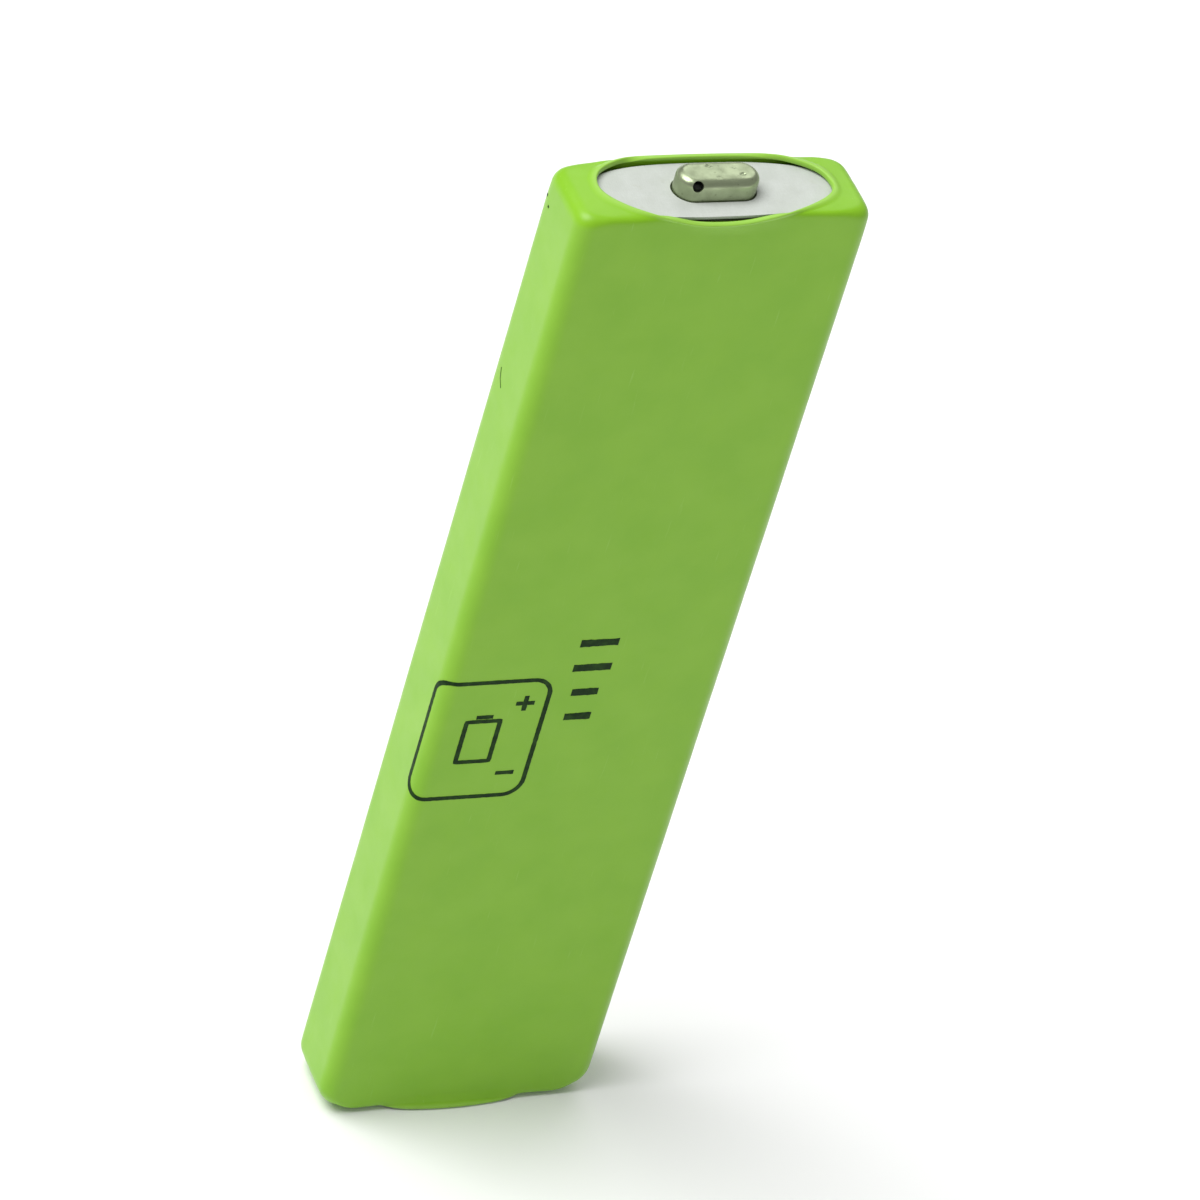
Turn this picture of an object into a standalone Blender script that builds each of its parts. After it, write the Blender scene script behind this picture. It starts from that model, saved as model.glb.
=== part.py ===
"""A flat "gumstick" nickel-metal hydride cell, 17 x 5.8 x 67 mm, as separate solids.

The cell stands on its negative end. +Z runs along the cell to the positive cap, X across its
width and Y through its thickness. The origin is the centre of the bottom face. Sizes below are
in millimetres and become metres when a mesh is made.
"""

import math
from collections import namedtuple

import bmesh
import bpy
from mathutils import Vector

MM = 0.001

# Outer size of the sleeved cell. THICKNESS is across the flat wide faces.
WIDTH = 17.0
THICKNESS = 5.0
HEIGHT = 67.0
EDGE_RADIUS = 0.9
GAP = 0.02

# Sleeve. Each folded end leaves a mouth, rounder towards its back where the film drew in evenly.
SLEEVE_WALL = 0.15
RIM_FLARE = 0.225
RIM_BEND = 1.0
STRAIGHTNESS = 2.4
Side = namedtuple("Side", "depth roundness rise full_rise_past")
FoldedEnd = namedtuple("FoldedEnd", "shoulder up crown half_length middle_y front back side_fold end_fold")
TOP_FRONT = Side(3.40, 0.60, -0.50, 0.85)
TOP_BACK = Side(2.65, 0.95, 0.0, 1.0)
BOTTOM_SIDE = Side(4.30, 0.25, 0.30, 0.28)
TOP_END = FoldedEnd(65.95, 1, 0.10, 6.6, 0.0, TOP_FRONT, TOP_BACK, 0.5, 1.1)
BOTTOM_END = FoldedEnd(0.30, -1, 0.0, 7.0, 0.0, BOTTOM_SIDE, BOTTOM_SIDE, 0.9, 1.9)
FOLD_POINTS = 10

# Steel can and its welded lid
CAN_WALL = 0.3
CAN_FLOOR_Z = 0.48
CAN_TOP_Z = 65.5
CAN_NECK_Z = 64.4
CAN_NECK_IN = (0.33, 0.06)
CAN_FOOT = (2.4, 0.9)
CONTACT_HALF = (5.0, 0.9)
LID_Z = (65.05, 65.5)
LID_FLOOR_Z = (64.42, 64.87)
LID_DISH_HALF = (3.9, 1.65)
LID_DISH_SLOPE = 0.12
LID_DISH_UNDER_HALF = (4.1, 1.8)
LID_HOLE_RADIUS = 1.2

# Positive terminal
WASHER_HALF = (7.0, 2.0)
WASHER_Z = (65.60, 65.77)
WASHER_HOLE_HALF = (2.42, 1.07)
CAP_HALF = (2.35, 1.0)
CAP_WALL = 0.2
CAP_EDGE_RADIUS = 0.3
CAP_FLANGE_HALF = (3.5, 1.45)
CAP_FLANGE_Z = (65.42, 65.57)
VENT_HOLE_RADIUS = 0.30
VENT_HOLE_TILT = 36.0
VENT_HOLE_BEARING = 262.0
VENT_HOLE_Z = 66.7
VALVE_HALF = (1.9, 0.7)
VALVE_Z = (65.42, 66.55)
VALVE_EDGE = 0.15

# Rivet, seals and current collector
BORE_RADIUS = 0.45
SHANK_RADIUS = 0.9
SHANK_HOLE_RADIUS = 0.93
RIVET_HEAD_HALF = (2.4, 1.3)
RIVET_HEAD_Z = (65.14, 65.40)
RIVET_FOOT_RADIUS = 1.35
RIVET_FOOT_Z = (63.62, 63.84)
OUTER_GASKET_HALF = (3.0, 1.45)
OUTER_GASKET_Z = (64.89, 65.12)
COLLAR_RADIUS = 1.12
COLLAR_FOOT_Z = 64.5
INNER_GASKET_HALF = (4.2, 1.7)
INNER_GASKET_Z = (64.10, 64.40)
COLLECTOR_HALF = (3.4, 1.5)
COLLECTOR_Z = (63.86, 64.08)

# Electrode stack: plates stand on edge and are stacked through the thickness
POSITIVE_COUNT = 3
POSITIVE_THICKNESS = 0.54
POSITIVE_HALF_WIDTH = 7.0
POSITIVE_Z = (1.45, 61.3)
COINED_HEIGHT = 1.6
COINED_THICKNESS = 0.16
PLATE_EDGE_RADIUS = 0.045
NEGATIVE_THICKNESS = 0.305
NEGATIVE_HALF_WIDTH = 7.15
NEGATIVE_Z = (1.5, 61.8)
SEPARATOR_WALL = 0.13
SEPARATOR_CLEARANCE = 0.03
SEPARATOR_Z = (1.25, 62.2)
LAYER_GAP = 0.025
LEAD_X = (1.8, 3.2)
LEAD_THICKNESS = 0.09
LEAD_Z = (60.1, 63.84)
UPPER_INSULATOR_HALF = (7.8, 1.9)
UPPER_INSULATOR_Z = (62.4, 62.9)
LEAD_WINDOW_X = (1.3, 3.7)
LEAD_WINDOW_HALF_Y = 1.5
LOWER_INSULATOR_HALF = (6.0, 1.5)
LOWER_INSULATOR_Z = (0.82, 1.06)

CORNER_STEPS = 4

GREEN = (0.20, 0.42, 0.05, 1.0)
WHITE = (0.68, 0.70, 0.65, 1.0)
NICKEL = (0.56, 0.55, 0.50, 1.0)
STEEL = (0.50, 0.50, 0.48, 1.0)
RUBBER = (0.03, 0.03, 0.03, 1.0)
NYLON = (0.75, 0.72, 0.62, 1.0)
HYDRIDE = (0.10, 0.10, 0.11, 1.0)
HYDROXIDE = (0.08, 0.12, 0.08, 1.0)
FIBRE = (0.80, 0.80, 0.76, 1.0)


def clear_scene():
    for obj in list(bpy.data.objects):
        bpy.data.objects.remove(obj, do_unlink=True)


def material(name, color, roughness, metallic=0.0):
    mat = bpy.data.materials.new(name)
    mat.use_nodes = True
    shader = mat.node_tree.nodes["Principled BSDF"]
    shader.inputs["Base Color"].default_value = color
    shader.inputs["Roughness"].default_value = roughness
    shader.inputs["Metallic"].default_value = metallic
    return mat


def finish_object(name, bm, mat):
    """Turn a bmesh in millimetres into a smooth-shaded object in metres."""
    bmesh.ops.recalc_face_normals(bm, faces=bm.faces)
    bmesh.ops.scale(bm, vec=(MM, MM, MM), verts=bm.verts)
    mesh = bpy.data.meshes.new(name)
    bm.to_mesh(mesh)
    bm.free()
    mesh.shade_smooth()
    mesh.set_sharp_from_angle(angle=math.radians(35))
    mesh.materials.append(mat)
    obj = bpy.data.objects.new(name, mesh)
    bpy.context.scene.collection.objects.link(obj)
    return obj


def rounded_outline(half, radius, side_steps=1, end_steps=1, centre=(0.0, 0.0)):
    """Points of a rounded rectangle, anticlockwise from the lower end of the +X side."""
    half_x, half_y = half
    middle = Vector(centre)
    arcs = []
    for sign_x, sign_y, start in ((1, -1, -90), (1, 1, 0), (-1, 1, 90), (-1, -1, 180)):
        corner = middle + Vector((sign_x * (half_x - radius), sign_y * (half_y - radius)))
        arc = []
        for step in range(CORNER_STEPS + 1):
            angle = math.radians(start + 90 * step / CORNER_STEPS)
            arc.append(corner + radius * Vector((math.cos(angle), math.sin(angle))))
        arcs.append(arc)
    points = []
    for index, arc in enumerate(arcs):
        points.extend(arc)
        following = arcs[(index + 1) % len(arcs)][0]
        steps = end_steps if index % 2 == 0 else side_steps
        for step in range(1, steps):
            points.append(arc[-1].lerp(following, step / steps))
    return points


def obround(half):
    """A slot shape with round ends. The tiny flat keeps its end points apart."""
    return rounded_outline(half, half[1] - 0.05)


def circle(radius):
    """Round outline with as many points as the others, in the same order."""
    return rounded_outline((radius + 0.02, radius + 0.02), radius)


def at_height(outline, z):
    return [Vector((point.x, point.y, z)) for point in outline]


def loft(rings, closed=False):
    """Skin a list of equal rings. An open list is capped at both ends, a closed one is a torus."""
    bm = bmesh.new()
    rows = [[bm.verts.new(point) for point in ring] for ring in rings]
    count = len(rows[0])
    pairs = list(zip(rows, rows[1:]))
    if closed:
        pairs.append((rows[-1], rows[0]))
    for lower, upper in pairs:
        for index in range(count):
            after = (index + 1) % count
            bm.faces.new((lower[index], lower[after], upper[after], upper[index]))
    if not closed:
        bm.faces.new(reversed(rows[0]))
        bm.faces.new(rows[-1])
    return bm


def solid_plate(name, outline, z_range, mat):
    rings = [at_height(outline, z) for z in z_range]
    return finish_object(name, loft(rings), mat)


def pierced_plate(name, outline, hole, z_range, mat):
    low, high = z_range
    rings = [at_height(outline, low), at_height(outline, high), at_height(hole, high), at_height(hole, low)]
    return finish_object(name, loft(rings, closed=True), mat)


def wall_outline(inset=0.0):
    """The cell's outline at mid height, moved inwards by an inset."""
    half = (WIDTH / 2 - inset, THICKNESS / 2 - inset)
    return rounded_outline(half, EDGE_RADIUS - inset, side_steps=12, end_steps=4)


def outline_normals():
    """Outward directions of the wall outline's points, from two concentric outlines."""
    step = 0.01
    outer = wall_outline()
    inner = wall_outline(step)
    return [(a - b).normalized() for a, b in zip(outer, inner)]


def quarter_share(point):
    """Runs from 0 mid wide face to 1 mid narrow side, along the outline."""
    straight = WIDTH / 2 - EDGE_RADIUS
    side_half = THICKNESS / 2 - EDGE_RADIUS
    total = straight + EDGE_RADIUS * math.pi / 2 + side_half
    if abs(point.x) <= straight:
        return abs(point.x) / total
    if abs(point.y) <= side_half:
        return 1 - abs(point.y) / total
    angle = math.atan2(abs(point.x) - straight, abs(point.y) - side_half)
    return (straight + EDGE_RADIUS * angle) / total


def rim_point(point, end):
    """The sleeve rim over one outline point, as a plan point and a height beyond the shoulder.

    The rim lies above the shoulder by the end's crown. Where the mouth is deeper than the cell is
    thick, the rim stays upright at the wide face, flares outwards and gains the side's rise.
    """
    side = end.front if point.y < 0 else end.back
    turn = math.pi / 2 * quarter_share(point)
    along = math.cos(turn)
    y = math.copysign(side.depth, point.y)
    y *= side.roundness * along + (1 - side.roundness) * along**STRAIGHTNESS
    y += end.middle_y
    past = max(0.0, abs(y) - THICKNESS / 2)
    y = math.copysign(min(abs(y), THICKNESS / 2) + RIM_FLARE * past, y)
    x = math.copysign(end.half_length * math.sin(turn), point.x)
    return Vector((x, y)), end.crown + side.rise * min(1.0, past / side.full_rise_past)


def fold_path(point, normal, end):
    """Outer surface from the wall to the rim over one outline point, as (plan, height) pairs."""
    rim, rise = rim_point(point, end)
    inward = rim - point
    upright = inward.dot(normal) >= -1e-6
    if upright:
        start, knee, tip = rise - RIM_BEND, rise - RIM_BEND / 3, rise
        landing = rim
    else:
        fold = end.side_fold + (end.end_fold - end.side_fold) * normal.x**2
        start, knee, tip = -fold, 0.0, 0.0
        landing = point + inward.normalized() * min(fold, inward.length)
    path = []
    steps = 8
    for step in range(steps + 1):
        t = step / steps
        across = t * t
        height = (1 - t) ** 2 * start + 2 * t * (1 - t) * knee + t * t * tip
        path.append((point.lerp(landing, across), height))
    path.append((rim, rise))
    return path


def resample(path, count):
    """Points spread evenly along a path of (plan, height) pairs."""
    spots = [Vector((plan.x, plan.y, height)) for plan, height in path]
    lengths = [(b - a).length for a, b in zip(spots, spots[1:])]
    total = sum(lengths)
    result = []
    for index in range(count):
        goal = total * index / (count - 1)
        for a, b, length in zip(spots, spots[1:], lengths):
            if goal <= length or b is spots[-1]:
                result.append(a.lerp(b, min(1.0, goal / length) if length else 0.0))
                break
            goal -= length
    return result


def folded_surfaces(end):
    """Outer and inner rings of one folded end, each from the wall to the rim."""
    outer_columns = []
    inner_columns = []
    for point, normal in zip(wall_outline(), outline_normals()):
        spots = resample(fold_path(point, normal, end), FOLD_POINTS)
        inner = []
        for index, spot in enumerate(spots):
            before = spots[max(0, index - 1)]
            after = spots[min(len(spots) - 1, index + 1)]
            climb = (after - before).normalized()
            upright = max(0.0, climb.z)
            if index == 0:
                upright = 1.0
            lying = math.sqrt(max(0.0, 1 - upright**2))
            offset = Vector((-normal.x * upright, -normal.y * upright, -lying)) * SLEEVE_WALL
            inner.append(spot + offset)
        outer_columns.append(spots)
        inner_columns.append(inner)
    surfaces = []
    for columns in (outer_columns, inner_columns):
        rings = []
        for index in range(FOLD_POINTS):
            ring = [column[index] for column in columns]
            rings.append([Vector((p.x, p.y, end.shoulder + end.up * p.z)) for p in ring])
        surfaces.append(rings)
    return surfaces


def make_sleeve(mat):
    """Shrink sleeve: straight walls, both ends folded over the can, and an open lens at each end."""
    top_outer, top_inner = folded_surfaces(TOP_END)
    bottom_outer, bottom_inner = folded_surfaces(BOTTOM_END)
    straight_z = (3.0, 63.0)
    outer_wall = [at_height(wall_outline(), z) for z in straight_z]
    inner_wall = [at_height(wall_outline(SLEEVE_WALL), z) for z in straight_z]
    rings = bottom_outer[::-1] + outer_wall + top_outer
    rings += top_inner[::-1] + inner_wall[::-1] + bottom_inner
    return finish_object("sleeve", loft(rings, closed=True), mat)


def fillet_inset(radius, height):
    """How far a fillet draws in at a height above its foot."""
    if height >= radius:
        return 0.0
    return radius - math.sqrt(radius**2 - (radius - height) ** 2)


def foot_rings(half, floor_z, foot, corner_radius):
    """Rounded lower edge of the can, with a larger fillet along X than along Y."""
    steps = 6
    rings = []
    for step in range(steps + 1):
        height = foot[0] * (1 - math.cos(math.pi / 2 * step / steps))
        half_x = half[0] - fillet_inset(foot[0], height)
        half_y = half[1] - fillet_inset(foot[1], height)
        rings.append(at_height(rounded_outline((half_x, half_y), corner_radius, 12, 4), floor_z + height))
    return rings


def make_can(mat):
    """Deep-drawn steel can, the negative terminal, open at the top and slightly necked in."""
    inset = SLEEVE_WALL + GAP
    outer = (WIDTH / 2 - inset, THICKNESS / 2 - inset)
    inner = (outer[0] - CAN_WALL, outer[1] - CAN_WALL)
    outer_radius = EDGE_RADIUS - inset
    inner_radius = outer_radius - CAN_WALL
    inner_foot = (CAN_FOOT[0] - CAN_WALL, CAN_FOOT[1] - CAN_WALL)
    contact = rounded_outline(CONTACT_HALF, CONTACT_HALF[1] * 0.9, 12, 4)

    def wall_ring(half, radius, z, neck=(0.0, 0.0)):
        return at_height(rounded_outline((half[0] - neck[0], half[1] - neck[1]), radius, 12, 4), z)

    rings = [at_height(contact, CAN_FLOOR_Z)]
    rings += foot_rings(outer, CAN_FLOOR_Z, CAN_FOOT, outer_radius)
    rings += [
        wall_ring(outer, outer_radius, CAN_NECK_Z),
        wall_ring(outer, outer_radius, CAN_TOP_Z, CAN_NECK_IN),
        wall_ring(inner, inner_radius, CAN_TOP_Z, CAN_NECK_IN),
        wall_ring(inner, inner_radius, CAN_NECK_Z - CAN_WALL / 3),
    ]
    rings += foot_rings(inner, CAN_FLOOR_Z + CAN_WALL, inner_foot, inner_radius)[::-1]
    return finish_object("can", loft(rings), mat)


def make_lid(mat):
    """Lid plate, dished round a central hole so that the terminal's flanges sit below its rim."""
    inset = SLEEVE_WALL + GAP + CAN_WALL + GAP
    half = (WIDTH / 2 - inset - CAN_NECK_IN[0], THICKNESS / 2 - inset - CAN_NECK_IN[1])
    outer = rounded_outline(half, EDGE_RADIUS - inset)
    dish_floor = (LID_DISH_HALF[0] - LID_DISH_SLOPE, LID_DISH_HALF[1] - LID_DISH_SLOPE)
    hole = circle(LID_HOLE_RADIUS)
    rings = [
        at_height(outer, LID_Z[0]),
        at_height(outer, LID_Z[1]),
        at_height(obround(LID_DISH_HALF), LID_Z[1]),
        at_height(obround(dish_floor), LID_FLOOR_Z[1]),
        at_height(hole, LID_FLOOR_Z[1]),
        at_height(hole, LID_FLOOR_Z[0]),
        at_height(obround(LID_DISH_UNDER_HALF), LID_FLOOR_Z[0]),
        at_height(obround(LID_DISH_UNDER_HALF), LID_Z[0]),
    ]
    return finish_object("lid_plate", loft(rings, closed=True), mat)


def vent_hole_cutter(bearing):
    """A slanted peg through the upper edge of the cap's rounded end."""
    tilt = math.radians(VENT_HOLE_TILT)
    turn = math.radians(bearing)
    outward = Vector((math.cos(turn), math.sin(turn), 0.0))
    axis = outward * math.cos(tilt) + Vector((0.0, 0.0, math.sin(tilt)))
    end_centre = math.copysign(CAP_HALF[0] - CAP_HALF[1], outward.x)
    middle = Vector((end_centre, 0.0, VENT_HOLE_Z)) + outward * (CAP_HALF[1] - CAP_WALL / 2)
    bm = bmesh.new()
    bmesh.ops.create_cone(
        bm, cap_ends=True, segments=16, radius1=VENT_HOLE_RADIUS, radius2=VENT_HOLE_RADIUS, depth=1.0
    )
    turn_to_axis = Vector((0.0, 0.0, 1.0)).rotation_difference(axis).to_matrix()
    bmesh.ops.rotate(bm, verts=bm.verts, matrix=turn_to_axis)
    bmesh.ops.translate(bm, verts=bm.verts, vec=middle)
    bmesh.ops.scale(bm, vec=(MM, MM, MM), verts=bm.verts)
    mesh = bpy.data.meshes.new("vent_hole")
    bm.to_mesh(mesh)
    bm.free()
    cutter = bpy.data.objects.new("vent_hole", mesh)
    bpy.context.scene.collection.objects.link(cutter)
    cutter.hide_render = True
    cutter.display_type = "WIRE"
    return cutter


def make_cap(mat):
    """Positive cap: a hollow obround hat with a flange and two vent holes in its upper edge."""
    inside = (CAP_HALF[0] - CAP_WALL, CAP_HALF[1] - CAP_WALL)
    rings = [
        at_height(obround(inside), HEIGHT - CAP_WALL),
        at_height(obround(inside), CAP_FLANGE_Z[0]),
        at_height(obround(CAP_FLANGE_HALF), CAP_FLANGE_Z[0]),
        at_height(obround(CAP_FLANGE_HALF), CAP_FLANGE_Z[1]),
        at_height(obround(CAP_HALF), CAP_FLANGE_Z[1]),
    ]
    steps = 4
    for step in range(steps + 1):
        angle = math.pi / 2 * step / steps
        inset = CAP_EDGE_RADIUS * (1 - math.cos(angle))
        z = HEIGHT - CAP_EDGE_RADIUS * (1 - math.sin(angle))
        rings.append(at_height(obround((CAP_HALF[0] - inset, CAP_HALF[1] - inset)), z))
    cap = finish_object("positive_terminal_cap", loft(rings), mat)
    for bearing in (VENT_HOLE_BEARING, VENT_HOLE_BEARING - 180.0):
        cut = cap.modifiers.new("vent_hole", "BOOLEAN")
        cut.operation = "DIFFERENCE"
        cut.object = vent_hole_cutter(bearing)
    return cap


def make_washer(mat):
    return pierced_plate(
        "top_insulator_washer",
        rounded_outline(WASHER_HALF, WASHER_HALF[1] * 0.55),
        obround(WASHER_HOLE_HALF),
        WASHER_Z,
        mat,
    )


def make_valve(mat):
    """Rubber valve block with eased edges, modelled about its seat on the rivet's head."""
    low, high = VALVE_Z
    eased = (VALVE_HALF[0] - VALVE_EDGE, VALVE_HALF[1] - VALVE_EDGE)
    rings = [
        at_height(obround(eased), 0.0),
        at_height(obround(VALVE_HALF), VALVE_EDGE),
        at_height(obround(VALVE_HALF), high - low - VALVE_EDGE),
        at_height(obround(eased), high - low),
    ]
    valve = finish_object("vent_valve", loft(rings), mat)
    valve.location.z = low * MM
    return valve


def make_rivet(mat):
    """Hollow rivet: an obround head, a shank through the lid and a swaged foot."""
    head = obround(RIVET_HEAD_HALF)
    rings = [
        at_height(head, RIVET_HEAD_Z[0]),
        at_height(head, RIVET_HEAD_Z[1]),
        at_height(circle(BORE_RADIUS), RIVET_HEAD_Z[1]),
        at_height(circle(BORE_RADIUS), RIVET_FOOT_Z[0]),
        at_height(circle(RIVET_FOOT_RADIUS), RIVET_FOOT_Z[0]),
        at_height(circle(RIVET_FOOT_RADIUS), RIVET_FOOT_Z[1]),
        at_height(circle(SHANK_RADIUS), RIVET_FOOT_Z[1]),
        at_height(circle(SHANK_RADIUS), RIVET_HEAD_Z[0]),
    ]
    return finish_object("terminal_rivet", loft(rings, closed=True), mat)


def make_outer_gasket(mat):
    """Nylon seal under the rivet's head, with a collar down into the lid's hole."""
    flange = obround(OUTER_GASKET_HALF)
    rings = [
        at_height(flange, OUTER_GASKET_Z[0]),
        at_height(flange, OUTER_GASKET_Z[1]),
        at_height(circle(SHANK_HOLE_RADIUS), OUTER_GASKET_Z[1]),
        at_height(circle(SHANK_HOLE_RADIUS), COLLAR_FOOT_Z),
        at_height(circle(COLLAR_RADIUS), COLLAR_FOOT_Z),
        at_height(circle(COLLAR_RADIUS), OUTER_GASKET_Z[0]),
    ]
    return finish_object("outer_gasket", loft(rings, closed=True), mat)


def layer_pitch():
    """Distance between positive plates: a pouch, a negative plate and the gaps between them."""
    pouch = POSITIVE_THICKNESS + 2 * (SEPARATOR_CLEARANCE + SEPARATOR_WALL)
    return pouch + NEGATIVE_THICKNESS + 2 * LAYER_GAP


def positive_places():
    middle = (POSITIVE_COUNT - 1) / 2
    return [(index - middle) * layer_pitch() for index in range(POSITIVE_COUNT)]


def negative_places():
    middle = POSITIVE_COUNT / 2
    return [(index - middle) * layer_pitch() for index in range(POSITIVE_COUNT + 1)]


def make_positive_plate(index, y, mat):
    """Pasted plate whose top edge is coined thin for the lead's weld."""
    full = POSITIVE_THICKNESS / 2
    coined = COINED_THICKNESS / 2
    low, high = POSITIVE_Z
    levels = ((low, full), (high - COINED_HEIGHT, full), (high - COINED_HEIGHT + 0.3, coined), (high, coined))
    rings = []
    for z, half_y in levels:
        outline = rounded_outline((POSITIVE_HALF_WIDTH, half_y), PLATE_EDGE_RADIUS, centre=(0.0, y))
        rings.append(at_height(outline, z))
    return finish_object(f"positive_plate_{index}", loft(rings), mat)


def make_negative_plate(index, y, mat):
    half = (NEGATIVE_HALF_WIDTH, NEGATIVE_THICKNESS / 2)
    outline = rounded_outline(half, NEGATIVE_THICKNESS * 0.3, centre=(0.0, y))
    return solid_plate(f"negative_plate_{index}", outline, NEGATIVE_Z, mat)


def make_separator(index, y, mat):
    """Pouch round one positive plate, closed at its foot and sides and open at the top."""
    inner = (POSITIVE_HALF_WIDTH + SEPARATOR_CLEARANCE, POSITIVE_THICKNESS / 2 + SEPARATOR_CLEARANCE)
    outer = (inner[0] + SEPARATOR_WALL, inner[1] + SEPARATOR_WALL)
    outer_outline = rounded_outline(outer, outer[1] * 0.6, centre=(0.0, y))
    inner_outline = rounded_outline(inner, PLATE_EDGE_RADIUS + SEPARATOR_CLEARANCE, centre=(0.0, y))
    low, high = SEPARATOR_Z
    rings = [
        at_height(outer_outline, low),
        at_height(outer_outline, high),
        at_height(inner_outline, high),
        at_height(inner_outline, low + SEPARATOR_WALL),
    ]
    return finish_object(f"separator_{index}", loft(rings), mat)


def make_lead(index, y, mat):
    """Nickel strip beside the coined edge of one positive plate, up to the collector plate."""
    half = ((LEAD_X[1] - LEAD_X[0]) / 2, LEAD_THICKNESS / 2)
    side = COINED_THICKNESS / 2 + GAP + half[1]
    centre = ((LEAD_X[0] + LEAD_X[1]) / 2, y + side)
    outline = rounded_outline(half, LEAD_THICKNESS * 0.3, centre=centre)
    return solid_plate(f"positive_lead_{index}", outline, LEAD_Z, mat)


def make_upper_insulator(mat):
    """Spacer over the stack, with one window that the leads pass through."""
    window_half = ((LEAD_WINDOW_X[1] - LEAD_WINDOW_X[0]) / 2, LEAD_WINDOW_HALF_Y)
    window = rounded_outline(window_half, 0.3, centre=(sum(LEAD_WINDOW_X) / 2, 0.0))
    outline = rounded_outline(UPPER_INSULATOR_HALF, 0.75)
    return pierced_plate("upper_insulator", outline, window, UPPER_INSULATOR_Z, mat)


def build():
    clear_scene()
    green = material("sleeve_pvc", GREEN, 0.38)
    white = material("washer_fibre", WHITE, 0.75)
    nickel = material("nickel_plate", NICKEL, 0.35, 1.0)
    steel = material("can_steel", STEEL, 0.4, 1.0)
    rubber = material("valve_rubber", RUBBER, 0.8)
    nylon = material("seal_nylon", NYLON, 0.5)
    hydride = material("hydride_plate", HYDRIDE, 0.85)
    hydroxide = material("hydroxide_plate", HYDROXIDE, 0.9)
    fibre = material("separator_fibre", FIBRE, 0.9)

    make_sleeve(green)
    make_can(steel)
    make_lid(steel)
    make_washer(white)
    make_cap(nickel)
    make_valve(rubber)
    make_rivet(nickel)
    make_outer_gasket(nylon)
    pierced_plate("inner_gasket", obround(INNER_GASKET_HALF), circle(SHANK_HOLE_RADIUS), INNER_GASKET_Z, nylon)
    pierced_plate("collector_plate", obround(COLLECTOR_HALF), circle(SHANK_HOLE_RADIUS), COLLECTOR_Z, nickel)
    make_upper_insulator(white)
    solid_plate("lower_insulator", rounded_outline(LOWER_INSULATOR_HALF, 0.6), LOWER_INSULATOR_Z, white)
    for index, y in enumerate(positive_places(), start=1):
        make_positive_plate(index, y, hydroxide)
        make_separator(index, y, fibre)
        make_lead(index, y, nickel)
    for index, y in enumerate(negative_places(), start=1):
        make_negative_plate(index, y, hydride)


build()
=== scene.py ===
"""Looks of a flat nickel-metal hydride cell: a printed shrink sleeve, a fibre washer and a nickel cap.

The cell stands on its negative end. +Z runs to the positive cap, X across the width and Y through
the thickness, and the front wide face looks along -Y. Lengths are in millimetres and become metres
when a mesh is made.
"""

import math
from collections import namedtuple

import bmesh
import bpy
import numpy as np
from mathutils import Matrix, Vector, noise


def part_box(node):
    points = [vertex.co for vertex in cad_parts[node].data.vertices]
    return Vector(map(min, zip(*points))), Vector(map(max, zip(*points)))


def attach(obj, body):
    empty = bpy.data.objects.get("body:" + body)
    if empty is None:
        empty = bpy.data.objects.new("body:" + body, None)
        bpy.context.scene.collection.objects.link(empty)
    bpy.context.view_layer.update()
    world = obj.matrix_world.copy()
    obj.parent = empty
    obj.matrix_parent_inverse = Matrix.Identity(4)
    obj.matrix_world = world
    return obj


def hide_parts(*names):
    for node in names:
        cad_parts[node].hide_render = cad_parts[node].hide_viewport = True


MM = 0.001

# Camera: where it looks, how far off it stands and how it is turned
AIM = (1.57, 1.22, 35.83)
CAMERA_AZIMUTH = -31.16
CAMERA_ELEVATION = 38.51
CAMERA_DISTANCE = 371.1
CAMERA_ROLL = 17.31
LENS = 201.34

# Light: a large soft panel up on the left, a weaker one behind, and the pale sky all round
KEY_AZIMUTH = -105.0
KEY_ELEVATION = 60.0
KEY_DISTANCE = 1800.0
KEY_SIZE = 1300.0
KEY_POWER = 36.0
BACK_AZIMUTH = 150.0
BACK_ELEVATION = 42.0
BACK_DISTANCE = 1500.0
BACK_SIZE = 1000.0
BACK_POWER = 4.0
SKY_STRENGTH = 0.36
FLOOR_SIZE = 6000.0

# Sleeve
FLAT_THICKNESS = 5.0
EDGE_RADIUS = 0.9
FILM = 0.15
BEAD = 0.15
BEAD_WIDTH = 0.40
BEAD_ROW = 0.09
BEAD_HOLD = 1.15
BEAD_REACH = 0.7
BEAD_SQUARENESS = 0.6
RIM_FLARE = 0.225
RIM_BEND = 1.0
LEAD = 2.4
EASE_REACHES = (1, 2, 3, 2, 1)
FOLD_GROWS_FROM = 6.5
FOLD_GROWS_OVER = 2.0
SETTLE_LENGTH = 0.6
LIFT_SPREAD = 3
COLUMNS = 240
FOLD_ROWS = 46
FOLD_STEPS = 14
WALL_ROWS = 40
RIM_ROWS = 6
CROWN = 0.03
UNDULATION = 0.012
UNDULATION_SIZE = 5.0
SWELL_MARGIN = 3.0
SWELL_FADE = 8.0
PLEAT = 0.020
PLEAT_PITCH = (1.4, 1.3)
PLEAT_LEVEL = 9.0
PLEAT_END = 1.15

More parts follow.
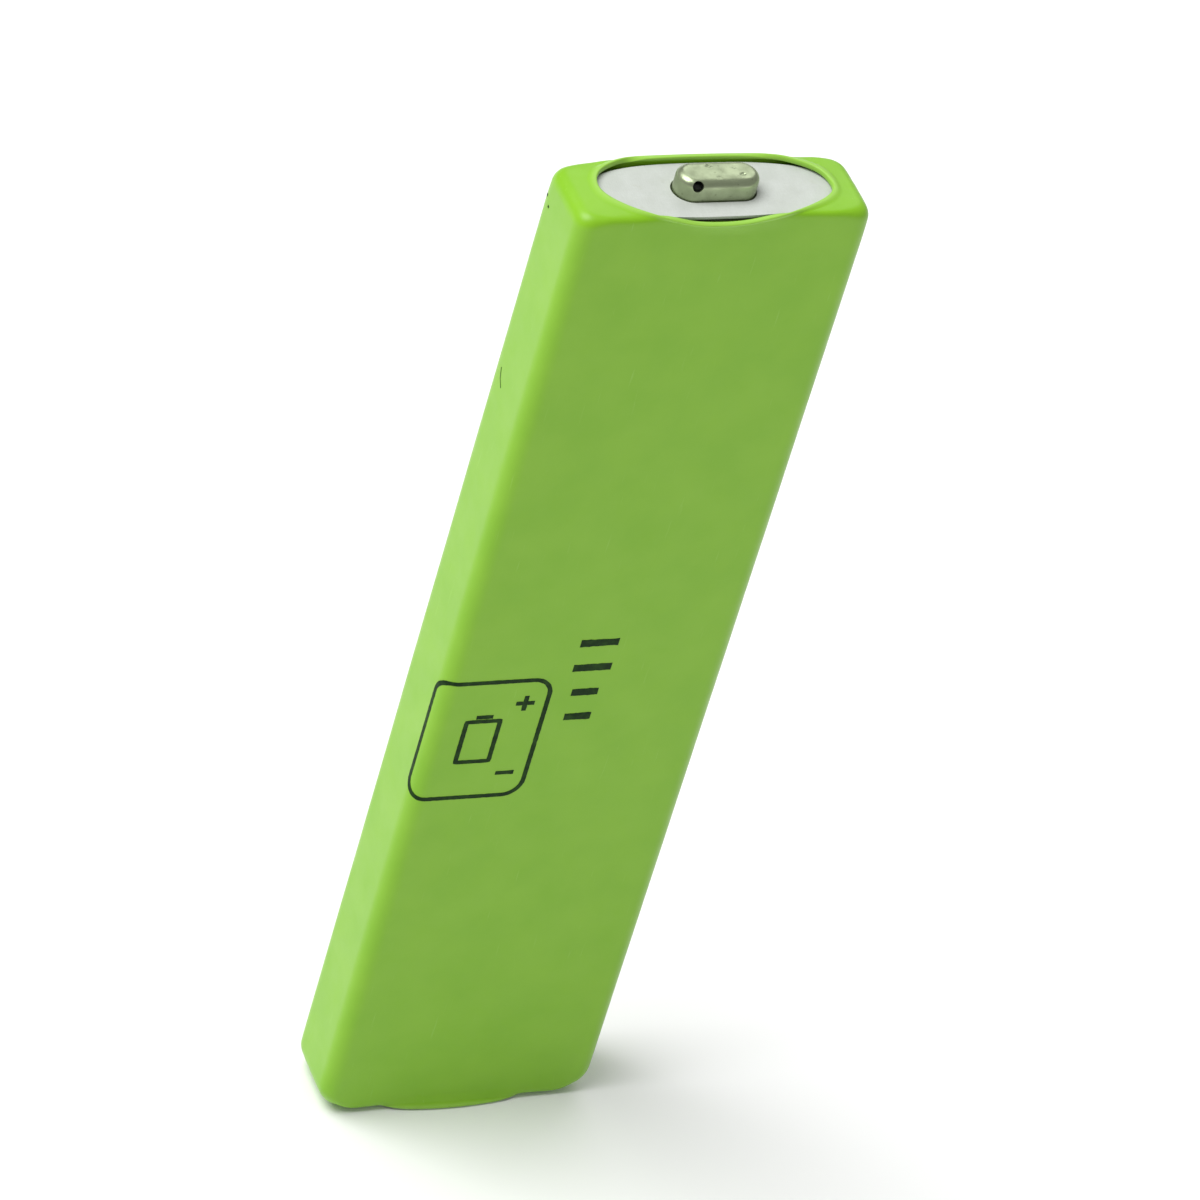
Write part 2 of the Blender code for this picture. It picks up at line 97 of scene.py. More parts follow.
# One side of a mouth: how deep it reaches, how round it is, and how far its lip rises where it
# stands past the flat wall. A mouth has a front and a back side and joins the walls by folds.
Side = namedtuple("Side", "depth roundness power apex rise full_rise_past lift")
End = namedtuple("End", "shoulder up crown half_length middle tilt front back side_fold end_fold")
TOP_FRONT = Side(3.37, 0.74, 4.6, -0.9, -0.50, 0.85, 0.0)
TOP_BACK = Side(2.80, 0.0, 0.88, 0.3, 0.0, 1.0, 0.10)
BOTTOM_SIDE = Side(4.10, 0.25, 2.4, -0.3, 0.14, 0.60, 0.0)
TOP = End(65.95, 1, 0.10, 6.63, (0.08, 0.03), -0.034, TOP_FRONT, TOP_BACK, 0.30, 0.80)
BOTTOM = End(0.20, -1, 0.0, 6.0, (0.0, 0.0), 0.0, BOTTOM_SIDE, BOTTOM_SIDE, 0.30, 1.6)

# Print: a pictogram round the front left edge and a column of ticks on the front
INK_LIFT = 0.012
INK_ROOT = 0.03
INK_STEP = 0.12
INK_RAGGED = 0.16
INK_RAGGED_PITCH = 4
STROKE = 0.28
PICTOGRAM_AT = (-5.5, 29.3)
PICTOGRAM_HALF = (3.5, 4.3)
PICTOGRAM_CORNER = 1.1
PICTOGRAM_STEPS = 8
CASE = ((-1.0, -1.6), (1.0, -1.6), (1.0, 1.4), (-1.0, 1.4))
CASE_NUB = ((-0.5, 1.72), (0.5, 1.72))
PLUS_AT = (2.2, 2.6)
PLUS_REACH = 0.55
MINUS = ((1.65, -2.6), (2.75, -2.6))
TICKS_AT = (0.12, 33.4)
TICK_PITCH = 1.82
TICK_LENGTHS = (2.3, 2.3, 1.6, 1.6)
TICK_STROKE = 0.50
SPECKS = ((-12.5, 64.3), (-12.0, 63.9))
SPECK_RUN = (0.14, -0.03)
SPECK_STROKE = 0.15
SCRATCH = ((-11.95, 53.0), (-11.75, 52.4), (-11.4, 52.0))
SCRATCH_STROKE = 0.06

# Cap
CAP_HALF = (2.35, 1.0)
CAP_WALL = 0.2
CAP_EDGE = 0.46
CAP_FOOT = 0.12
CAP_STEPS = {"foot": 4, "wall": 6, "edge": 10, "top": 14}
CAP_MIDDLE = 0.06
CEILING_MIDDLE = 0.05
SLOT_ARC = 57
SLOT_SIDE = 28
CAP_FLANGE_TOP = 65.57
VENT_HOLE_RADIUS = 0.30
VENT_HOLE_TILT = 36.0
VENT_HOLE_BEARING = 262.0
VENT_HOLE_Z = 66.7
VENT_PEG_LENGTH = 1.0
VENT_PEG_SIDES = 40
PIT_DEPTH = 0.06
PIT_RADIUS = 0.13
PIT_REACH = 1.6
PIT_SQUASH = 1.5
PITS = ((-0.45, 0.47, 1.0), (1.26, -0.29, 0.8), (-0.19, -0.52, 0.5), (0.95, 0.30, 0.4))
HANDLING = 0.008
HANDLING_PITCH = 1.1

# Washer
WASHER_HALF_DEPTH = 2.26
WASHER_HOLE_HALF = (2.42, 1.07)
WASHER_SQUARENESS = 2.7
WASHER_RINGS = 16
WASHER_EDGE = 0.05
WASHER_WAVE = 0.012
WASHER_WAVE_PITCH = 0.5
WASHER_INSET = 0.005

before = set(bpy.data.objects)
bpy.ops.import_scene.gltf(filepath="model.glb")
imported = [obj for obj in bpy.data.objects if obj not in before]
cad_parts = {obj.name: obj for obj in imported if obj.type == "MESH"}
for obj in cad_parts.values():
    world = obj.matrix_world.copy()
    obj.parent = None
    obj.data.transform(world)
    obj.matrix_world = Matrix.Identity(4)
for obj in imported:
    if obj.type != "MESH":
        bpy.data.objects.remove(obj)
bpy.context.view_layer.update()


def box_mm(node):
    low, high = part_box(node)
    return low / MM, high / MM


SLEEVE_LOW, SLEEVE_HIGH = box_mm("sleeve")
HALF_WIDTH = (SLEEVE_HIGH.x - SLEEVE_LOW.x) / 2
HALF_THICKNESS = FLAT_THICKNESS / 2
CORNER = (HALF_WIDTH - EDGE_RADIUS, HALF_THICKNESS - EDGE_RADIUS)
ARC = EDGE_RADIUS * math.pi / 2
PERIMETER = 4 * (CORNER[0] + CORNER[1] + ARC)


def smooth(value):
    """Eased step from 0 at 0 to 1 at 1."""
    value = min(1.0, max(0.0, value))
    return value * value * (3 - 2 * value)


# ---------------------------------------------------------------- meshes


def finish_piece(name, bm, material, sharp=None, body="cell"):
    """Turn a bmesh in millimetres into a smooth-shaded piece that rides on a body."""
    bmesh.ops.recalc_face_normals(bm, faces=bm.faces)
    bmesh.ops.scale(bm, vec=(MM, MM, MM), verts=bm.verts)
    mesh = bpy.data.meshes.new(name)
    bm.to_mesh(mesh)
    bm.free()
    mesh.shade_smooth()
    if sharp:
        mesh.set_sharp_from_angle(angle=math.radians(sharp))
    mesh.materials.append(material)
    piece = bpy.data.objects.new(name, mesh)
    bpy.context.scene.collection.objects.link(piece)
    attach(piece, body)
    return piece


def loft(rings, closed=False):
    """Skin equal rings. An open list is capped at both ends, a closed one is a torus."""
    bm = bmesh.new()
    rows = [[bm.verts.new(point) for point in ring] for ring in rings]
    count = len(rows[0])
    pairs = list(zip(rows, rows[1:]))
    if closed:
        pairs.append((rows[-1], rows[0]))
    for lower, upper in pairs:
        for index in range(count):
            after = (index + 1) % count
            bm.faces.new((lower[index], lower[after], upper[after], upper[index]))
    if not closed:
        bm.faces.new(reversed(rows[0]))
        bm.faces.new(rows[-1])
    return bm


# ---------------------------------------------------------------- sleeve


def wall_point(s):
    """Point and outward direction on the cell's outline, s millimetres round from mid front."""
    s %= PERIMETER
    start = Vector((0.0, -HALF_THICKNESS))
    straights = (CORNER[0], 2 * CORNER[1], 2 * CORNER[0], 2 * CORNER[1], CORNER[0])
    corners = ((1, -1), (1, 1), (-1, 1), (-1, -1), (1, -1))
    for turn, straight in enumerate(straights):
        heading = math.radians(90 * turn)
        along = Vector((math.cos(heading), math.sin(heading)))
        outward = Vector((along.y, -along.x))
        if s <= straight:
            return start + along * s, outward
        s -= straight
        centre = Vector((corners[turn][0] * CORNER[0], corners[turn][1] * CORNER[1]))
        if s <= ARC:
            angle = heading - math.pi / 2 + s / EDGE_RADIUS
            outward = Vector((math.cos(angle), math.sin(angle)))
            return centre + outward * EDGE_RADIUS, outward
        s -= ARC
        start = centre + along * EDGE_RADIUS
    return start, outward


def wall_swell(s, z):
    """How far the wide faces stand out: a slight crown and a slight unevenness of the film."""
    point, outward = wall_point(s)
    above = (z - BOTTOM.shoulder - SWELL_MARGIN) / SWELL_FADE
    below = (TOP.shoulder - SWELL_MARGIN - z) / SWELL_FADE
    fade = smooth(above) * smooth(below)
    crown = CROWN * outward.y**2 * (1 - (point.x / HALF_WIDTH) ** 2)
    uneven = UNDULATION * noise.noise(Vector((point.x, point.y, z)) / UNDULATION_SIZE)
    return fade * (crown + uneven)


def wall_surface(s, z, lift=0.0):
    point, outward = wall_point(s)
    plan = point + outward * (wall_swell(s, z) + lift)
    return Vector((plan.x, plan.y, z))


def rim_point(s, end):
    """The rim of the sleeve over one point of the outline, and its height beyond the shoulder."""
    quarter = PERIMETER / 4
    turn = int(s % PERIMETER // quarter)
    share = (s % PERIMETER) / quarter - turn
    if turn % 2:
        share = 1 - share
    sign_x = 1 if turn < 2 else -1
    sign_y = 1 if turn in (1, 2) else -1
    side = end.back if sign_y > 0 else end.front
    along = math.cos(math.pi / 2 * share)
    x = end.middle[0] + sign_x * end.half_length * math.sin(math.pi / 2 * share) + side.apex * along**2
    reach = side.depth * (side.roundness * along + (1 - side.roundness) * along**side.power)
    y = end.middle[1] + end.tilt * x + sign_y * reach
    past = max(0.0, abs(y) - HALF_THICKNESS)
    y = math.copysign(min(abs(y), HALF_THICKNESS) + RIM_FLARE * past, y)
    rise = side.rise * smooth(past / side.full_rise_past)
    height = end.crown + rise + side.lift * smooth(LIFT_SPREAD * along)
    return Vector((x, y)), height


def fold_path(s, end):
    """Outer line of the film from the wall over the edge to the rim, as (plan, height) pairs."""
    wall, outward = wall_point(s)
    rim, height = rim_point(s, end)
    inward = rim - wall
    drawn_in = -inward.dot(outward)
    path = [(wall, -LEAD)]
    if drawn_in <= 0:
        for step in range(FOLD_STEPS + 1):
            t = step / FOLD_STEPS
            path.append((wall.lerp(rim, t * t), height - RIM_BEND * (1 - t)))
        return path
    corner = (abs(wall.x) - FOLD_GROWS_FROM) / FOLD_GROWS_OVER
    fold = end.side_fold + (end.end_fold - end.side_fold) * smooth(corner)
    turn = math.pi / 2 * min(1.0, drawn_in / fold)
    radius = min(fold, drawn_in) / (1 - math.cos(turn))
    landing = wall + inward * min(1.0, fold / drawn_in)
    settle = height * smooth(1 - (rim - landing).length / SETTLE_LENGTH)
    for step in range(FOLD_STEPS + 1):
        angle = turn * step / FOLD_STEPS
        share = (1 - math.cos(angle)) / (1 - math.cos(turn))
        path.append((wall.lerp(landing, share), settle - radius * (math.sin(turn) - math.sin(angle))))
    if turn == math.pi / 2:
        path.append((rim, height))
    return path


def fold_column(s, end):
    """Evenly spaced points along the fold path, stopping half a bead short of the rim."""
    spots = []
    for plan, height in fold_path(s, end):
        spots.append(Vector((plan.x, plan.y, end.shoulder + end.up * height)))
    lengths = np.array([(b - a).length for a, b in zip(spots, spots[1:])])
    marks = np.concatenate([[0.0], np.cumsum(lengths)])
    goals = np.linspace(0.0, marks[-1] - (FILM + BEAD) / 2, FOLD_ROWS)
    table = np.array([tuple(spot) for spot in spots])
    return np.stack([np.interp(goals, marks, table[:, axis]) for axis in range(3)], axis=1)


def eased(fold):
    """The fold with its kinks taken out along the rim. The row next to the wall stays as it is."""
    share = np.linspace(0.0, 1.0, FOLD_ROWS)[:, None, None] ** 2
    for reach in EASE_REACHES:
        around = (np.roll(fold, reach, axis=1) + np.roll(fold, -reach, axis=1) + fold) / 3
        fold = fold + share * (around - fold)
    return fold


def sleeve_sheet():
    """Outer surface of the sleeve as an array of rows, columns and coordinates, bottom rim first."""
    turns = [PERIMETER * column / COLUMNS for column in range(COLUMNS)]
    bottom = np.stack([fold_column(s, BOTTOM)[::-1] for s in turns], axis=1)
    top = np.stack([fold_column(s, TOP) for s in turns], axis=1)
    low = BOTTOM.shoulder + LEAD
    high = TOP.shoulder - LEAD
    heights = np.linspace(low, high, WALL_ROWS + 2)[1:-1]
    wall = np.array([[tuple(wall_surface(s, z)) for s in turns] for z in heights])
    return np.concatenate([eased(bottom[::-1])[::-1], wall, eased(top)], axis=0)


def sheet_normals(sheet):
    across = np.roll(sheet, -1, axis=1) - np.roll(sheet, 1, axis=1)
    along = np.gradient(sheet, axis=0)
    normals = np.cross(across, along)
    return normals / np.linalg.norm(normals, axis=2, keepdims=True)


def rim_share(rows):
    """For each row, 1 at a rim and 0 where the film has its own thickness."""
    share = np.zeros(rows)
    for row in range(FOLD_ROWS):
        value = smooth(BEAD_HOLD - row * BEAD_ROW / BEAD_WIDTH)
        share[row] = value
        share[-1 - row] = value
    return share


def pleats(sheet):
    """Small gathers of the film, running over the folded narrow ends."""
    rows, columns = sheet.shape[:2]
    height = np.zeros((rows, columns))
    for column in range(columns):
        s = PERIMETER * column / COLUMNS
        outward = wall_point(s)[1]
        for row in range(FOLD_ROWS):
            share = row / (FOLD_ROWS - 1)
            window = math.sin(math.pi * min(1.0, PLEAT_END * share)) * abs(outward.x)
            for level, place in ((-1, row), (1, rows - 1 - row)):
                spot = (s * PLEAT_PITCH[0], share * PLEAT_PITCH[1], PLEAT_LEVEL * level)
                wave = noise.noise(Vector(spot))
                height[place, column] = PLEAT * window * wave
    return height


def make_sleeve(material):
    """Shrink sleeve: straight walls, and both ends folded over the can to a beaded mouth."""
    sheet = sleeve_sheet()
    normals = sheet_normals(sheet)
    sheet = sheet + normals * pleats(sheet)[:, :, None]
    normals = sheet_normals(sheet)
    share = rim_share(len(sheet))[:, None, None]
    outer = sheet + normals * share * BEAD * 0.5
    inner = sheet - normals * (FILM + share * BEAD * 0.5)

    def rim_rings(outer_ring, inner_ring, before):
        middle = (outer_ring + inner_ring) / 2
        half = (outer_ring - inner_ring) / 2
        ahead = middle - before
        ahead /= np.linalg.norm(ahead, axis=1, keepdims=True)
        radius = np.linalg.norm(half, axis=1, keepdims=True)
        rings = []
        for step in range(1, RIM_ROWS):
            angle = math.pi * step / RIM_ROWS
            across = math.copysign(abs(math.cos(angle)) ** BEAD_SQUARENESS, math.cos(angle))
            forward = BEAD_REACH * math.sin(angle) ** BEAD_SQUARENESS
            rings.append(middle + half * across + ahead * radius * forward)
        return rings

    top_rim = rim_rings(outer[-1], inner[-1], (outer[-2] + inner[-2]) / 2)
    bottom_rim = rim_rings(outer[0], inner[0], (outer[1] + inner[1]) / 2)
    rings = list(outer) + top_rim + list(inner[::-1]) + bottom_rim[::-1]
    sleeve = finish_piece("sleeve_skin", loft(rings, closed=True), material)
    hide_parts("sleeve")
    rim = list(rim_share(len(sheet)))
    shares = rim + [1.0] * (RIM_ROWS - 1) + rim[::-1] + [1.0] * (RIM_ROWS - 1)
    # The rim attribute is the mask of the painted highlight on the sleeve's rims.
    attribute = sleeve.data.attributes.new("rim", "FLOAT", "POINT")
    attribute.data.foreach_set("value", np.repeat(shares, COLUMNS))
    return sleeve


# ---------------------------------------------------------------- print on the sleeve


def walk(points):
    """More points along a line in the sleeve's (s, z) plane, so that a stroke follows the film."""
    line = []
    for a, b in zip(points, points[1:]):
        count = max(1, math.ceil((b - a).length / INK_STEP))
        line.extend(a.lerp(b, index / count) for index in range(count))
    line.append(points[-1])
    return line


def add_stroke(bm, points, width, closed=False):
    """A thin bar of ink along a line in the (s, z) plane, laid on the sleeve."""
    line = walk(points + points[:1] if closed else points)
    if closed:
        line.pop()
    sections = []
    for index, spot in enumerate(line):
        before = line[index - 1] if closed or index else spot
        after = line[(index + 1) % len(line)] if closed or index + 1 < len(line) else spot
        run = (after - before).normalized()
        ragged = 1 + INK_RAGGED * noise.noise(Vector((spot.x, spot.y, 0.0)) * INK_RAGGED_PITCH)
        side = Vector((-run.y, run.x)) * width * ragged / 2
        left, right = spot + side, spot - side
        corners = ((left, INK_LIFT), (right, INK_LIFT), (right, -INK_ROOT), (left, -INK_ROOT))
        points_here = [wall_surface(place.x, place.y, lift) for place, lift in corners]
        sections.append([bm.verts.new(point) for point in points_here])
    pairs = list(zip(sections, sections[1:]))
    if closed:
        pairs.append((sections[-1], sections[0]))
    for first, second in pairs:
        for corner in range(4):
            after = (corner + 1) % 4
            bm.faces.new((first[corner], first[after], second[after], second[corner]))
    if not closed:
        bm.faces.new(reversed(sections[0]))
        bm.faces.new(sections[-1])


def rounded_box(centre, half, corner):
    points = []
    for sign_x, sign_y, start in ((1, -1, -90), (1, 1, 0), (-1, 1, 90), (-1, -1, 180)):
        middle = centre + Vector((sign_x * (half[0] - corner), sign_y * (half[1] - corner)))
        for step in range(PICTOGRAM_STEPS + 1):
            angle = math.radians(start + 90 * step / PICTOGRAM_STEPS)
            points.append(middle + corner * Vector((math.cos(angle), math.sin(angle))))
    return points


def add_plus(bm, centre, reach, width):
    across, up = Vector((reach, 0.0)), Vector((0.0, reach))
    add_stroke(bm, [centre - across, centre + across], width)
    add_stroke(bm, [centre + up, centre + Vector((0.0, width / 2))], width)
    add_stroke(bm, [centre - up, centre - Vector((0.0, width / 2))], width)


def make_print(material):
    """Generic marks: a boxed battery sign with its poles, four ticks, two specks and a scratch."""
    bm = bmesh.new()
    centre = Vector(PICTOGRAM_AT)
    add_stroke(bm, rounded_box(centre, PICTOGRAM_HALF, PICTOGRAM_CORNER), STROKE, closed=True)
    add_stroke(bm, [centre + Vector(corner) for corner in CASE], STROKE, closed=True)
    add_stroke(bm, [centre + Vector(spot) for spot in CASE_NUB], STROKE)
    add_plus(bm, centre + Vector(PLUS_AT), PLUS_REACH, STROKE)
    add_stroke(bm, [centre + Vector(spot) for spot in MINUS], STROKE)
    for index, length in enumerate(TICK_LENGTHS):
        s, z = TICKS_AT[0], TICKS_AT[1] + TICK_PITCH * (1.5 - index)
        add_stroke(bm, [Vector((s - length / 2, z)), Vector((s + length / 2, z))], TICK_STROKE)
    for speck in SPECKS:
        add_stroke(bm, [Vector(speck), Vector(speck) + Vector(SPECK_RUN)], SPECK_STROKE)
    add_stroke(bm, [Vector(spot) for spot in SCRATCH], SCRATCH_STROKE)
    return finish_piece("sleeve_print", bm, material, sharp=40)


# ---------------------------------------------------------------- positive end


def slot_ring(half, z):
    """Points round a slot with round ends, at one height. Rings of any size line up."""
    flat, radius = half[0] - half[1], half[1]
    ring = []
    for sign, start in ((1, -90), (-1, 90)):
        for step in range(SLOT_ARC):
            angle = math.radians(start + 180 * step / (SLOT_ARC - 1))
            ring.append(Vector((sign * flat + radius * math.cos(angle), radius * math.sin(angle), z)))
        for step in range(1, SLOT_SIDE):
            ring.append(Vector((sign * flat * (1 - 2 * step / SLOT_SIDE), sign * radius, z)))
    return ring


def cap_profile():
    """Insets and heights up the cap's outside: foot radius, wall, edge radius and crowned top."""
    high = box_mm("positive_terminal_cap")[1].z
    wall_low = CAP_FLANGE_TOP + CAP_FOOT
    wall_high = high - CAP_EDGE
    profile = []
    for step in range(CAP_STEPS["foot"] + 1):
        angle = math.pi / 2 * step / CAP_STEPS["foot"]
        profile.append((-CAP_FOOT * (1 - math.sin(angle)), wall_low - CAP_FOOT * math.cos(angle)))
    for step in range(1, CAP_STEPS["wall"]):
        profile.append((0.0, wall_low + (wall_high - wall_low) * step / CAP_STEPS["wall"]))
    for step in range(CAP_STEPS["edge"] + 1):
        angle = math.pi / 2 * step / CAP_STEPS["edge"]
        profile.append((CAP_EDGE * (1 - math.cos(angle)), high - CAP_EDGE * (1 - math.sin(angle))))
    innermost = CAP_HALF[1] - CAP_MIDDLE
    for step in range(1, CAP_STEPS["top"] + 1):
        profile.append((CAP_EDGE + (innermost - CAP_EDGE) * step / CAP_STEPS["top"], high))
    return profile


def press_pits(ring):
    """Probe marks in the cap's top. A pit is a plan point with a share of the full depth."""
    pressed = []
    for point in ring:
        depth = 0.0
        for x, y, share in PITS:
            distance = math.hypot(point.x - x, (point.y - y) * PIT_SQUASH)
            depth += share * PIT_DEPTH * smooth(PIT_REACH - distance / PIT_RADIUS)
        handled = HANDLING * noise.noise(point * HANDLING_PITCH)
        pressed.append(point + Vector((0.0, 0.0, handled - depth)))
    return pressed


def vent_hole_peg(bearing, half):
    """A slanted peg through the upper edge of the cap's rounded end."""
    tilt, turn = math.radians(VENT_HOLE_TILT), math.radians(bearing)
    outward = Vector((math.cos(turn), math.sin(turn), 0.0))
    axis = outward * math.cos(tilt) + Vector((0.0, 0.0, math.sin(tilt)))
    end_centre = math.copysign(half[0] - half[1], outward.x)
    middle = Vector((end_centre, 0.0, VENT_HOLE_Z)) + outward * (half[1] - CAP_WALL / 2)
    size = {"radius1": VENT_HOLE_RADIUS, "radius2": VENT_HOLE_RADIUS, "depth": VENT_PEG_LENGTH}
    bm = bmesh.new()
    bmesh.ops.create_cone(bm, cap_ends=True, segments=VENT_PEG_SIDES, **size)
    lean = Vector((0.0, 0.0, 1.0)).rotation_difference(axis)
    bmesh.ops.rotate(bm, verts=bm.verts, matrix=lean.to_matrix())
    bmesh.ops.translate(bm, verts=bm.verts, vec=middle)
    return bm


def drilled(bm, pegs):
    """The solid in bm less each peg. The cut is worked out in millimetres, before the mesh shrinks."""
    bmesh.ops.recalc_face_normals(bm, faces=bm.faces)
    helpers = []
    for shape in (bm, *pegs):
        mesh = bpy.data.meshes.new("drilling")
        shape.to_mesh(mesh)
        shape.free()
        helpers.append(bpy.data.objects.new("drilling", mesh))
        bpy.context.scene.collection.objects.link(helpers[-1])
    for peg in helpers[1:]:
        cut = helpers[0].modifiers.new("cut", "BOOLEAN")
        cut.operation = "DIFFERENCE"
        cut.object = peg
    bpy.context.view_layer.update()
    graph = bpy.context.evaluated_depsgraph_get()
    result = bmesh.new()
    result.from_object(helpers[0], graph)
    for helper in helpers:
        bpy.data.objects.remove(helper)
    return result


def make_cap(material):
    """Positive cap: a hollow obround hat with a flange, probe marks and two vent holes."""
    low, high = box_mm("positive_terminal_cap")
    flange = (high.x, high.y)
    inside = (CAP_HALF[0] - CAP_WALL, CAP_HALF[1] - CAP_WALL)
    rings = [
        slot_ring((CAP_HALF[0] - CAP_HALF[1] + CEILING_MIDDLE, CEILING_MIDDLE), high.z - CAP_WALL),
        slot_ring(inside, high.z - CAP_WALL),
        slot_ring(inside, low.z),
        slot_ring(flange, low.z),
        slot_ring(flange, CAP_FLANGE_TOP),
    ]
    for inset, z in cap_profile():
        rings.append(press_pits(slot_ring((CAP_HALF[0] - inset, CAP_HALF[1] - inset), z)))
    bearings = (VENT_HOLE_BEARING, VENT_HOLE_BEARING - 180)
    pegs = [vent_hole_peg(bearing, CAP_HALF) for bearing in bearings]
    cap = finish_piece("terminal_cap", drilled(loft(rings), pegs), material, sharp=35)
    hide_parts("positive_terminal_cap")
    return cap


def make_washer(material):
    """Fibre washer over the lid, with soft cut edges and a slightly wavy lie."""
    low, high = box_mm("top_insulator_washer")

    def ring(share, z):
        """Between the slot round the cap, at 0, and the washer's outer edge, at 1."""
        points = []
        for point in slot_ring(WASHER_HOLE_HALF, z):
            angle = math.atan2(point.y, point.x)
            across = abs(math.cos(angle) / high.x) ** WASHER_SQUARENESS
            deep = abs(math.sin(angle) / WASHER_HALF_DEPTH) ** WASHER_SQUARENESS
            reach = (across + deep) ** (-1 / WASHER_SQUARENESS)
            edge = Vector((math.cos(angle), math.sin(angle), 0.0)) * reach
            edge.z = z
            spot = point.lerp(edge, share)
            wave = noise.noise(Vector((spot.x, spot.y, 3.0)) * WASHER_WAVE_PITCH)
            spot.z += WASHER_WAVE * wave * smooth(4 * share)
            points.append(spot)
        return points

    def inset(share):
        """A share held a little off both edges, which leaves room for their soft corners."""
        return share * (1 - 2 * WASHER_INSET) + WASHER_INSET

    rings = []
    for step in range(WASHER_RINGS + 1):
        share = step / WASHER_RINGS
        rings.append(ring(inset(share), high.z))
    rings.append(ring(1.0, high.z - WASHER_EDGE))
    rings.append(ring(1.0, low.z + WASHER_EDGE))
    for step in range(WASHER_RINGS, -1, -4):
        share = step / WASHER_RINGS
        rings.append(ring(inset(share), low.z))
    rings.append(ring(0.0, low.z + WASHER_EDGE))
    rings.append(ring(0.0, high.z - WASHER_EDGE))
    washer = finish_piece("fibre_washer", loft(rings, closed=True), material, sharp=60)
    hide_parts("top_insulator_washer")
    return washer


# ---------------------------------------------------------------- materials


class Surface:
    """A Principled material whose patterns are placed by object coordinates in millimetres."""

    def __init__(self, name, metallic=0.0, **constants):
        self.material = bpy.data.materials.new(name)
        self.material.use_nodes = True
        self.nodes = self.material.node_tree.nodes
        self.links = self.material.node_tree.links
        self.shader = self.nodes["Principled BSDF"]
        self.shader.inputs["Metallic"].default_value = metallic
        for socket, value in constants.items():
            self.shader.inputs[socket.replace("_", " ")].default_value = value
        self.coordinates = self.nodes.new("ShaderNodeTexCoord").outputs["Object"]
        self.height = None

    def feed(self, socket, value):
        """Link an output to a socket, or set a plain value on it."""
        if isinstance(value, bpy.types.NodeSocket):
            self.links.new(value, socket)
        elif isinstance(value, tuple) and len(value) == 3:
            socket.default_value = (*value, 1.0)
        else:
            socket.default_value = value

    def place(self, stretch):
        """Object coordinates in millimetres, drawn out along each axis."""
        mapping = self.nodes.new("ShaderNodeMapping")
        mapping.inputs["Scale"].default_value = [1 / (MM * axis) for axis in stretch]
        self.links.new(self.coordinates, mapping.inputs["Vector"])
        return mapping.outputs["Vector"]

    def noise(self, size, stretch=(1, 1, 1), detail=3.0, seed=0.0):
        """Cloudy noise with features of about size millimetres, drawn out along each axis."""
        node = self.nodes.new("ShaderNodeTexNoise")
        node.noise_dimensions = "4D"
        node.inputs["W"].default_value = seed
        node.inputs["Scale"].default_value = 1 / size
        node.inputs["Detail"].default_value = detail
        self.links.new(self.place(stretch), node.inputs["Vector"])
        return node.outputs["Fac"]

    def cells(self, size, feature="F1"):
        """Distances in a pattern of cells about size millimetres across."""
        node = self.nodes.new("ShaderNodeTexVoronoi")
        node.feature = feature
        node.inputs["Scale"].default_value = 1 / size
        self.links.new(self.place((1, 1, 1)), node.inputs["Vector"])
        return node.outputs["Distance"]

    def spread(self, value, low, high, to_low=0.0, to_high=1.0):
        """The value stretched from one range to another and held inside it."""
        node = self.nodes.new("ShaderNodeMapRange")
        self.links.new(value, node.inputs["Value"])
        limits = {"From Min": low, "From Max": high, "To Min": to_low, "To Max": to_high}
        for socket, number in limits.items():
            node.inputs[socket].default_value = number
        return node.outputs["Result"]

    def calculate(self, operation, first, second):
        node = self.nodes.new("ShaderNodeMath")
        node.operation = operation
        self.feed(node.inputs[0], first)
        self.feed(node.inputs[1], second)
        return node.outputs["Value"]

    def sum(self, first, second):
        return self.calculate("ADD", first, second)

    def scaled(self, value, factor):
        return self.calculate("MULTIPLY", value, factor)

    def mix(self, factor, first, second):
        """Blend of two colours."""
        node = self.nodes.new("ShaderNodeMix")
        node.data_type = "RGBA"
        self.feed(node.inputs["Factor"], factor)
        self.feed(node.inputs[6], first)
        self.feed(node.inputs[7], second)
        return node.outputs[2]

    def attribute(self, name):
        node = self.nodes.new("ShaderNodeAttribute")
        node.attribute_name = name
        return node.outputs["Fac"]

    def colour(self, value):
        self.feed(self.shader.inputs["Base Color"], value)

    def roughness(self, value):
        self.feed(self.shader.inputs["Roughness"], value)

    def relief(self, height, depth):
        """Bump of a given depth in millimetres. Several calls add up."""
        node = self.nodes.new("ShaderNodeBump")
        node.inputs["Strength"].default_value = 1.0
        node.inputs["Distance"].default_value = depth * MM
        self.links.new(height, node.inputs["Height"])
        if self.height is not None:
            self.links.new(self.height, node.inputs["Normal"])
        self.height = node.outputs["Normal"]
        self.links.new(self.height, self.shader.inputs["Normal"])


